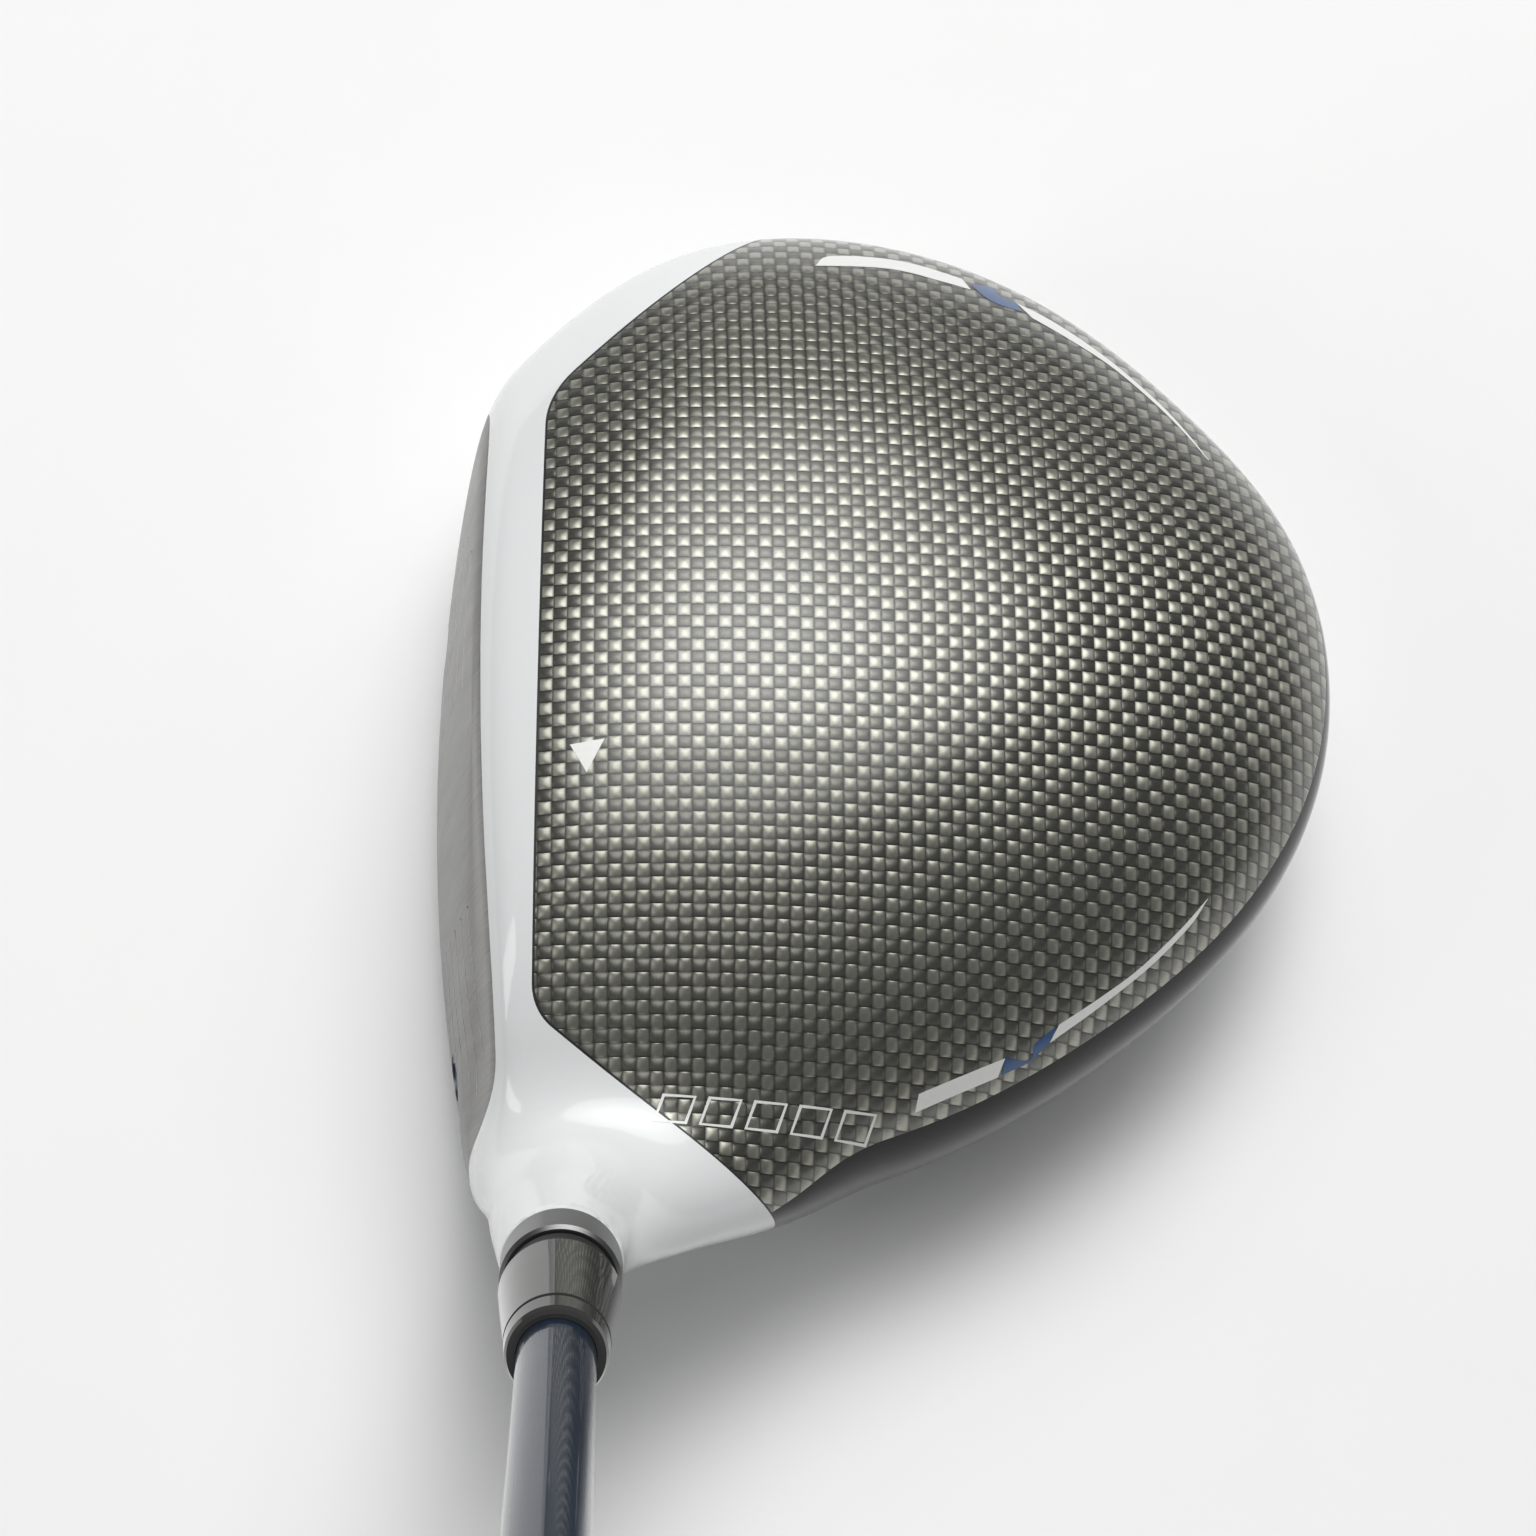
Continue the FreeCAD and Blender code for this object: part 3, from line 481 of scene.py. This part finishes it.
# Plan outlines of the painted bands: the outer edge, then the inner edge, both from front to rear.
TOE_WHITE = [(13.2, 68.8), (15.5, 71.2), (24.5, 71.5), (32.5, 69.4)], [(13.2, 68.8), (23, 69.3), (29.4, 68), (33.5, 67.1)]
TOE_BLUE = [(33.6, 68.3), (36.3, 68.8), (37.4, 67), (39.5, 66.2)], [(33.6, 68.2), (35.3, 66), (37.2, 64.9), (40.1, 64.4)]
TOE_TAIL = ([(39.5, 66.2), (43.9, 64.1), (50.3, 59.7), (56.6, 53.9), (60.2, 49.6), (63.6, 44.4)],
            [(41.4, 63.5), (46.3, 60.7), (51.4, 57.5), (56.4, 53), (60.1, 48.9), (63.5, 44.3)])
HEEL_TAIL = ([(41.3, -30.4), (46.4, -27), (51.5, -23.2), (56.7, -18.3), (60.3, -14.3)],
             [(40.2, -32.4), (46.5, -27.9), (52.9, -22.8), (58, -17.7), (60.3, -14.4)])
HEEL_BLUE = [(34.6, -34.6), (37.8, -34.4), (38.3, -32.8), (41, -30.6)], [(34.3, -36.3), (37.8, -34.6), (39.2, -33.3), (40.2, -32.4)]
HEEL_WHITE = [(24, -39.2), (34.6, -34.6)], [(23.6, -41.1), (33.8, -36.6)]
MARK = [(-17.5, -0.8), (-13.4, -0.2), (-15.5, -4.3)]
FILM = 0.04             # half the thickness of a painted film
SEAM_LINE = 0.3         # width of the dark joint at the crown's front edge
BARS, BAR_PITCH, BAR_WIDTH, BAR_HEIGHT, BAR_SLANT, BAR_STROKE = 5, 5.4, 4.0, 3.3, 1.2, 0.28


def band(edges):
    outer, inner_edge = edges
    return prism(through(outer) + through(inner_edge)[::-1], 30, 90)


def bars():
    """A row of slanted outlines, each a frame, beside the crown's heel edge."""
    made = []
    for k in range(BARS):
        x, y = -7.8 + k * BAR_PITCH, -43.9 - 0.2 * k
        corners = [Vector((x, y)), Vector((x + BAR_WIDTH, y - 0.2)),
                   Vector((x + BAR_WIDTH + BAR_SLANT, y + BAR_HEIGHT - 0.2)), Vector((x + BAR_SLANT, y + BAR_HEIGHT))]
        middle = sum(corners, Vector((0, 0))) / 4
        inside = [tuple(c + (middle - c) * BAR_STROKE * 1.5 / (middle - c).length) for c in corners]
        made.append(combine(prism([tuple(c) for c in corners], 30, 90), "DIFFERENCE", prism(inside, 20, 95)))
    return made


def make_head(white, black, carbon, titanium, band_white, band_blue, joint):
    outer = head_form()
    skin = combine(outer, "DIFFERENCE", inner(outer, PANEL))
    region = crown_region()
    crown = combine(skin, "INTERSECT", crown_region(SEAM_LINE), above_seam())
    show(crown, "crown_shell", "head", carbon, "carbon_weave", "crown_panel")
    edge = combine(combine(skin, "INTERSECT", region, above_seam()), "DIFFERENCE", crown_region(SEAM_LINE))
    show(edge, "crown_edge_joint", "head", joint, "black_gloss")
    rim = combine(combine(skin, "INTERSECT", region), "DIFFERENCE", above_seam(-BOND))
    show(rim, "rim_shell", "head", black, "black_gloss", "rear_rim")
    show(make_body(outer), "body_shell", "head", white, "body_paint", "head_body")
    cutters, paint = score_lines()
    show(make_face(outer, cutters), "face_shell", "head", titanium, "face_titanium", "face_plate")
    for number, mesh in enumerate(paint):
        show(mesh, f"score_line_{number}", "head", band_white, "body_paint")
    for number, mesh in enumerate(inlay(
            outer, band(TOE_WHITE), band(TOE_TAIL), band(HEEL_WHITE), band(HEEL_TAIL), prism(MARK, 30, 90), *bars())):
        show(mesh, f"band_white_{number}", "head", band_white, "body_paint")
    for number, mesh in enumerate(inlay(outer, band(TOE_BLUE), band(HEEL_BLUE))):
        show(mesh, f"band_blue_{number}", "head", band_blue, "blue_anodised")


# ---- the grip, in millimetres from its butt end along the shaft ------------------------------------

GRIP_UP = Vector(MOUNTS["butt_vent"]["axis"])
GRIP_LENGTH, GRIP_MOUTH, GRIP_BUTT, GRIP_BORE_GAP = 268.0, 8.6, 12.6, 0.25
GRIP_ROWS, GRIP_ROUND = 800, 180
RIB_DEPTH, RIB_PITCH, RIBS_ROUND, PLAIN_END = 0.35, 4.4, 16, 14.0


def grip_axis():
    """Middle of the grip's butt end, from the CAD grip."""
    points = points_of(NODES["grip"].data) / MM
    far = points @ np.array(GRIP_UP)
    top = points[far > far.max() - 0.05]
    return (top.min(0) + top.max(0)) / 2


def grip_radius(height):
    """Outer radius of the plain grip, height above its mouth."""
    return np.interp(height, (0, 1, 60, GRIP_LENGTH - 60, GRIP_LENGTH),
                     (GRIP_MOUTH - 0.8, GRIP_MOUTH, GRIP_MOUTH + 0.3, GRIP_BUTT - 1.2, GRIP_BUTT))


def make_grip(rubber_paint):
    """Rubber grip with crossed moulded grooves between two plain ends."""
    butt, axis = grip_axis(), np.array(GRIP_UP)
    side = np.array(GRIP_UP.orthogonal().normalized())
    across = np.cross(axis, side)
    turn = np.linspace(0, 2 * math.pi, GRIP_ROUND, endpoint=False)
    rings = []
    for height in np.linspace(0, GRIP_LENGTH, GRIP_ROWS):
        wave = 2 * math.pi * height / (RIB_PITCH * RIBS_ROUND)
        groove = [np.abs(np.sin(RIBS_ROUND * (turn / 2 + sign * wave / 2))) for sign in (-1, 1)]
        depth = RIB_DEPTH * np.clip(1 - np.minimum(*groove) * 4, 0, 1)
        if not PLAIN_END < height < GRIP_LENGTH - PLAIN_END:
            depth = depth * 0
        radius = (grip_radius(height) - depth)[:, None]
        middle = butt - axis * (GRIP_LENGTH - height)
        rings.append(middle + radius * (np.outer(np.cos(turn), side) + np.outer(np.sin(turn), across)))
    grip = ringed_solid("grip_mould", rings, tuple(rings[0].mean(0)), tuple(rings[-1].mean(0)))
    bore = ringed_solid("grip_bore", *grip_bore(butt, axis, side, across))
    show(combine(grip, "DIFFERENCE", bore), "grip_moulded", "shaft_assembly", rubber_paint, "grip_rubber", "grip")


def grip_bore(butt, axis, side, across):
    """The tapered hole for the taped shaft."""
    turn = np.linspace(0, 2 * math.pi, 96, endpoint=False)
    circle = np.outer(np.cos(turn), side) + np.outer(np.sin(turn), across)
    inside = points_of(NODES["grip_tape"].data) / MM - butt
    far = inside @ axis
    around = np.linalg.norm(inside - np.outer(far, axis), axis=1)
    low, high = far.min(), far.max()
    near_low, near_high = around[far < low + 1].max(), around[far > high - 1].max()
    slope = (near_high - near_low) / (high - low)
    rings = [butt + axis * place + (near_low + slope * (place - low) + GRIP_BORE_GAP / 5) * circle
             for place in (-GRIP_LENGTH - 2, 2.0)]
    return rings, tuple(rings[0].mean(0)), tuple(rings[-1].mean(0))


# ---- material helpers -----------------------------------------------------------------------------


class Paint:
    """A node material: each method adds a node and returns its output socket."""

    def __init__(self, name, **values):
        self.material = bpy.data.materials.new(name)
        self.material.use_nodes = True
        self.tree = self.material.node_tree
        self.shader = self.tree.nodes["Principled BSDF"]
        for socket, value in values.items():
            self.set(socket.replace("_", " "), value)

    def set(self, socket, value):
        target = self.shader.inputs[socket]
        if isinstance(value, bpy.types.NodeSocket):
            self.tree.links.new(value, target)
        elif isinstance(value, (tuple, list)) and len(value) == 3 and len(target.default_value) == 4:
            target.default_value = (*value, 1.0)
        else:
            target.default_value = value

    def node(self, kind, inputs=(), output=0, **settings):
        made = self.tree.nodes.new(kind)
        for key, value in settings.items():
            setattr(made, key, value)
        for key, value in dict(inputs).items():
            if isinstance(value, bpy.types.NodeSocket):
                self.tree.links.new(value, made.inputs[key])
            else:
                made.inputs[key].default_value = value
        return made.outputs[output]

    def math(self, operation, a, b=0.0, c=0.0):
        return self.node("ShaderNodeMath", {0: a, 1: b, 2: c}, operation=operation)

    def place(self):
        """The point on the surface in metres, in the frame of the part."""
        return self.node("ShaderNodeTexCoord", output="Object")

    def split(self, vector):
        made = self.tree.nodes.new("ShaderNodeSeparateXYZ")
        self.tree.links.new(vector, made.inputs[0])
        return made.outputs[0], made.outputs[1], made.outputs[2]

    def stretched(self, scale, vector=None):
        """Coordinates multiplied by scale, for grain that is long one way."""
        return self.node("ShaderNodeMapping", {"Vector": vector or self.place(), "Scale": scale})

    def noise(self, scale, detail=2.0, roughness=0.5, vector=None):
        return self.node("ShaderNodeTexNoise", {
            "Vector": vector or self.place(), "Scale": scale, "Detail": detail, "Roughness": roughness})

    def between(self, factor, low, high):
        """A value that runs from low to high as factor runs from 0 to 1."""
        return self.node("ShaderNodeMapRange", {"Value": factor, "To Min": low, "To Max": high})

    def steps(self, factor, start, stop, low=0.0, high=1.0):
        return self.node("ShaderNodeMapRange", {
            "Value": factor, "From Min": start, "From Max": stop, "To Min": low, "To Max": high},
            interpolation_type="SMOOTHSTEP")

    def blend(self, factor, a, b):
        """A colour between a and b."""
        made = self.tree.nodes.new("ShaderNodeMix")
        made.data_type = "RGBA"
        for socket, value in ((0, factor), (6, a), (7, b)):
            if isinstance(value, bpy.types.NodeSocket):
                self.tree.links.new(value, made.inputs[socket])
            else:
                made.inputs[socket].default_value = (*value, 1.0) if isinstance(value, tuple) else value
        return made.outputs[2]

    def bump(self, height, distance, strength=1.0):
        self.set("Normal", self.node("ShaderNodeBump", {
            "Height": height, "Distance": distance, "Strength": strength}))


def give(name, paint):
    """A CAD node takes this paint in place of its own."""
    NODES[name].data.materials.clear()
    NODES[name].data.materials.append(paint.material)


# ---- materials --------------------------------------------------------------------------------------

TOW_X, TOW_Y = 1.64 * MM, 1.53 * MM     # pitch of the weave's tows
TOW_HEIGHT = 0.24 * MM


def carbon_weave():
    """Plain-weave carbon fibre under clear resin: every tow arches over its neighbours."""
    p = Paint("carbon_weave", Roughness=0.42, Metallic=0.85, Anisotropic=0.7, Coat_Weight=1.0,
              Coat_Roughness=0.2, Coat_IOR=1.5)
    x, y, z = p.split(p.place())
    wander = p.between(p.noise(22.0, 1.0), -0.25, 0.25)
    u = p.math("ADD", p.math("DIVIDE", x, TOW_X), wander)
    v = p.math("ADD", p.math("DIVIDE", y, TOW_Y), wander)
    column, row = p.math("FLOOR", u), p.math("FLOOR", v)
    along_x = p.math("ABSOLUTE", p.math("MODULO", p.math("ADD", column, row), 2.0))
    across_u = p.math("SUBTRACT", p.math("FRACT", u), 0.5)
    across_v = p.math("SUBTRACT", p.math("FRACT", v), 0.5)

    arch_x = p.math("COSINE", p.math("MULTIPLY", across_u, 3.0))
    side_x = p.math("POWER", p.math("COSINE", p.math("MULTIPLY", across_v, 2.9)), 0.35)
    arch_y = p.math("COSINE", p.math("MULTIPLY", across_v, 3.0))
    side_y = p.math("POWER", p.math("COSINE", p.math("MULTIPLY", across_u, 2.9)), 0.35)
    height_x = p.math("MULTIPLY", arch_x, side_x)
    height_y = p.math("MULTIPLY", arch_y, side_y)
    height = p.node("ShaderNodeMix", {"Factor": along_x, "A": height_y, "B": height_x}, data_type="FLOAT")

    # Painted highlight: horizontal tows are coloured much lighter than vertical ones to stand in for the fibres'
    # sheen, over the tows' own dark tone.
    tow_tone_and_painted_sheen = p.blend(along_x, (0.125, 0.124, 0.108), (0.35, 0.348, 0.297))
    fibres_x = p.noise(1.0, 2.0, 0.6, p.stretched((900, 9000, 1)))
    fibres_y = p.noise(1.0, 2.0, 0.6, p.stretched((9000, 900, 1)))
    fibres = p.node("ShaderNodeMix", {"Factor": along_x, "A": fibres_y, "B": fibres_x}, data_type="FLOAT")
    # Painted shade: colour darkens towards each tow's low edges and the gaps between tows; the fibre streaks along
    # each tow are the weave's own grain.
    painted_gap_shade_and_fibres = p.math("MULTIPLY", p.steps(height, 0.0, 0.6, 0.25, 1.0), p.between(fibres, 0.75, 1.25))
    p.set("Base Color", p.node("ShaderNodeVectorMath", {0: tow_tone_and_painted_sheen, 1: painted_gap_shade_and_fibres}, operation="MULTIPLY"))
    tangent = p.node("ShaderNodeCombineXYZ", {0: along_x, 1: p.math("SUBTRACT", 1.0, along_x)})
    p.set("Tangent", tangent)
    p.bump(height, TOW_HEIGHT)
    return p


def pearl_white():
    """White paint with a fine pearl flake under clear lacquer."""
    p = Paint("pearl_white", Roughness=0.38, Coat_Weight=1.0, Coat_Roughness=0.05)
    flake = p.noise(5200.0, 1.0)
    drift = p.noise(35.0, 3.0)
    p.set("Base Color", p.blend(p.math("MULTIPLY", flake, drift), (0.75, 0.76, 0.76), (0.70, 0.715, 0.72)))
    p.bump(p.noise(2600.0, 1.0), 0.002 * MM, 0.4)
    return p


def black_gloss():
    """Polished black with the faint orange peel of sprayed lacquer."""
    p = Paint("black_gloss", Roughness=0.15, Specular_IOR_Level=0.15, Coat_Weight=0.4, Coat_IOR=1.3, Coat_Roughness=0.03)
    p.set("Base Color", p.blend(p.noise(60.0, 2.0), (0.004, 0.004, 0.004), (0.009, 0.0085, 0.009)))
    p.bump(p.noise(900.0, 1.0), 0.003 * MM, 0.3)
    return p


def milled_titanium():
    """Face titanium: fine upright milling marks."""
    p = Paint("milled_titanium", Metallic=1.0, Anisotropic=0.5)
    marks = p.noise(1.0, 3.0, 0.7, p.stretched((60, 4200, 120)))
    broad = p.noise(1.0, 2.0, 0.5, p.stretched((30, 300, 40)))
    p.set("Base Color", p.blend(marks, (0.12, 0.118, 0.115), (0.29, 0.285, 0.276)))
    p.set("Roughness", p.between(broad, 0.34, 0.46))
    p.bump(marks, 0.02 * MM, 0.5)
    return p


def brushed_metal(name, colour, roughness=0.3, grain=(2500, 300, 300), depth=0.006):
    """Bare or anodised metal with a fine directional grain."""
    p = Paint(name, Metallic=1.0)
    marks = p.noise(1.0, 3.0, 0.6, p.stretched(grain))
    dark = tuple(0.75 * c for c in colour)
    p.set("Base Color", p.blend(marks, dark, colour))
    p.set("Roughness", p.between(p.noise(120.0, 2.0), roughness - 0.06, roughness + 0.08))
    p.bump(marks, depth * MM, 0.5)
    return p


def satin_silver():
    p = Paint("satin_silver", Metallic=0.8, Coat_Weight=0.6, Coat_Roughness=0.15)
    p.set("Base Color", p.blend(p.noise(3200.0, 1.0), (0.50, 0.51, 0.52), (0.64, 0.65, 0.66)))
    p.set("Roughness", p.between(p.noise(60.0, 2.0), 0.30, 0.38))
    return p


def plastic(name, dark, light, roughness, grain=900.0, depth=0.004, coat=0.0):
    p = Paint(name, Coat_Weight=coat, Coat_Roughness=0.05)
    p.set("Base Color", p.blend(p.noise(grain / 8, 2.0), dark, light))
    p.set("Roughness", p.between(p.noise(grain / 4, 2.0), roughness - 0.04, roughness + 0.05))
    p.bump(p.noise(grain, 2.0), depth * MM, 0.5)
    return p


def shaft_paint():
    """Deep blue lacquer over wrapped graphite, its faint seams running round the shaft."""
    p = Paint("shaft_paint", Specular_IOR_Level=0.2, Coat_Weight=1.0, Coat_Roughness=0.03)
    wraps = p.noise(1.0, 2.0, 0.5, p.stretched((4000, 40, 40)))
    flake = p.noise(4200.0, 1.0)
    deep = p.blend(wraps, (0.003, 0.008, 0.020), (0.010, 0.021, 0.042))
    p.set("Base Color", p.blend(p.between(flake, 0.0, 0.35), deep, (0.02, 0.035, 0.06)))
    p.set("Roughness", p.between(wraps, 0.24, 0.34))
    return p


def paper_tape():
    p = Paint("paper_tape", Roughness=0.9)
    p.set("Base Color", p.blend(p.noise(800.0, 4.0), (0.62, 0.58, 0.48), (0.78, 0.75, 0.66)))
    p.bump(p.noise(2500.0, 3.0), 0.02 * MM)
    return p


def rubber():
    p = Paint("grip_rubber")
    p.set("Base Color", p.blend(p.noise(300.0, 3.0), (0.014, 0.014, 0.015), (0.03, 0.03, 0.031)))
    p.set("Roughness", p.between(p.noise(700.0, 2.0), 0.62, 0.82))
    p.bump(p.noise(3500.0, 3.0), 0.02 * MM)
    return p


def band_paint(name, dark, light):
    """Satin band paint with a fine speckle."""
    p = Paint(name, Roughness=0.35, Coat_Weight=0.8, Coat_Roughness=0.08)
    p.set("Base Color", p.blend(p.noise(2500.0, 2.0), dark, light))
    return p


def paint_nodes():
    carbon, white, black, titanium = carbon_weave(), pearl_white(), black_gloss(), milled_titanium()
    band_white = band_paint("band_white", (0.70, 0.71, 0.68), (0.78, 0.79, 0.76))
    band_blue = band_paint("band_blue", (0.010, 0.055, 0.16), (0.018, 0.085, 0.23))
    joint = plastic("joint_filler", (0.012, 0.012, 0.012), (0.03, 0.03, 0.03), 0.4)
    steel = brushed_metal("screw_steel", (0.55, 0.55, 0.56), 0.30)
    tungsten = brushed_metal("tungsten", (0.42, 0.42, 0.43), 0.36)
    dark_metal = brushed_metal("track_metal", (0.10, 0.105, 0.11), 0.38)
    blue = brushed_metal("blue_anodised", (0.03, 0.13, 0.40), 0.28)
    sleeve = brushed_metal("sleeve_aluminium", (0.24, 0.24, 0.24), 0.32, (300, 300, 3500))
    ring = plastic("black_plastic", (0.010, 0.010, 0.010), (0.022, 0.022, 0.022), 0.45)
    ferrule = plastic("ferrule_plastic", (0.022, 0.022, 0.021), (0.04, 0.04, 0.038), 0.10, coat=1.0)
    grip = rubber()
    painted = {
        "head_body": white, "face_plate": titanium, "crown_panel": carbon, "rear_rim": black,
        "sole_panel_toe": carbon, "sole_panel_heel": carbon, "sole_keel": satin_silver(),
        "weight_track": dark_metal, "hosel_insert": dark_metal, "face_port_screws": blue,
        "rear_weight": tungsten, "slider_weight": tungsten, "rear_weight_screw": steel,
        "slider_nut": steel, "slider_screw": steel, "hosel_washer": steel, "hosel_screw": steel,
        "loft_sleeve": sleeve, "ferrule_ring": ring, "ferrule": ferrule, "shaft": shaft_paint(),
        "grip_tape": paper_tape(), "grip": grip, "grip_cap": grip,
    }
    for name, paint in painted.items():
        give(name, paint)
    make_head(white, black, carbon, titanium, band_white, band_blue, joint)
    make_grip(grip)


# ---- studio ---------------------------------------------------------------------------------------------


def area_light(name, at, aim, width, depth, power, colour=(1, 1, 1)):
    data = bpy.data.lights.new(name, "AREA")
    data.shape = "RECTANGLE"
    data.size, data.size_y = width, depth
    data.energy = power
    data.color = colour
    light = bpy.data.objects.new(name, data)
    light.location = at
    light.rotation_euler = (Vector(aim) - Vector(at)).to_track_quat("-Z", "Y").to_euler()
    bpy.context.scene.collection.objects.link(light)
    return light


MAIN_LIGHT = Vector((0.11, 0.40, 0.88)).normalized()


def make_studio():
    """A pale floor under one large soft light from the toe side, with a strip of light beside the shaft."""
    world = bpy.data.worlds.new("studio")
    world.use_nodes = True
    background = world.node_tree.nodes["Background"]
    background.inputs["Color"].default_value = (0.97, 0.98, 1.0, 1.0)
    background.inputs["Strength"].default_value = 0.14
    bpy.context.scene.world = world
    bpy.context.scene.view_settings.view_transform = "Standard"

    for name, size, power in (
            ("softbox_wide", 2.2, 22.0), ("softbox_middle", 1.2, 23.0), ("softbox_heart", 0.6, 6.0)):
        light = area_light(name, MAIN_LIGHT * 2.2, (0, 0, 0.03), size, size, power)
        light.data.shape = "DISK"
    area_light("strip", (-0.85, -0.25, 0.6), (0, -0.1, 0.1), 0.22, 0.7, 1.3)

    bpy.ops.mesh.primitive_grid_add(size=8.0, x_subdivisions=8, y_subdivisions=8, location=(0, 0, -0.0002))
    floor = bpy.context.object
    floor.name = "floor"
    p = Paint("floor_paper", Roughness=0.8, Specular_IOR_Level=0.1)
    p.set("Base Color", p.blend(p.noise(40.0, 3.0), (0.86, 0.86, 0.855), (0.88, 0.88, 0.875)))
    floor.data.materials.append(p.material)


make_camera()
make_studio()
paint_nodes()
